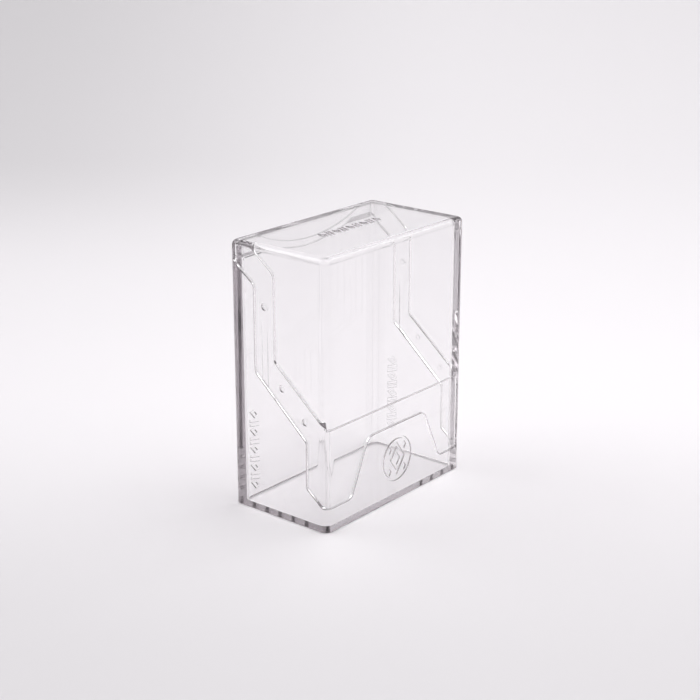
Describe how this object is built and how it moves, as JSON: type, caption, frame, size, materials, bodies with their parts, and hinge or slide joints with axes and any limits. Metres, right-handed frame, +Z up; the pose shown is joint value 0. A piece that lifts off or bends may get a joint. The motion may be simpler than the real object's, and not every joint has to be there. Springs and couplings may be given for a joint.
{
  "type": "card deck box",
  "caption": "Clear two-piece deck box: an open tray with a stepped collar, and a flush lid that lifts straight off over sleeved cards.",
  "frame": {"origin": "middle of the underside, which is the plane that the box stands on", "axes": "+Z up, the way the lid lifts off; +X to the right along the wide front face; +Y from the front face with its notch to the back wall with its finger dip"},
  "size_m": [0.0794, 0.0446, 0.1],
  "materials": {
    "clear_plastic": "water-clear, polished"
  },
  "bodies": {
    "tray": {"tray": "clear_plastic"},
    "lid": {"lid": "clear_plastic"}
  },
  "joints": [
    {"name": "lid_lift", "type": "slide", "parent": "tray", "child": "lid", "axis": [0, 0, 1], "range_m": [0, 0.1]}
  ]
}
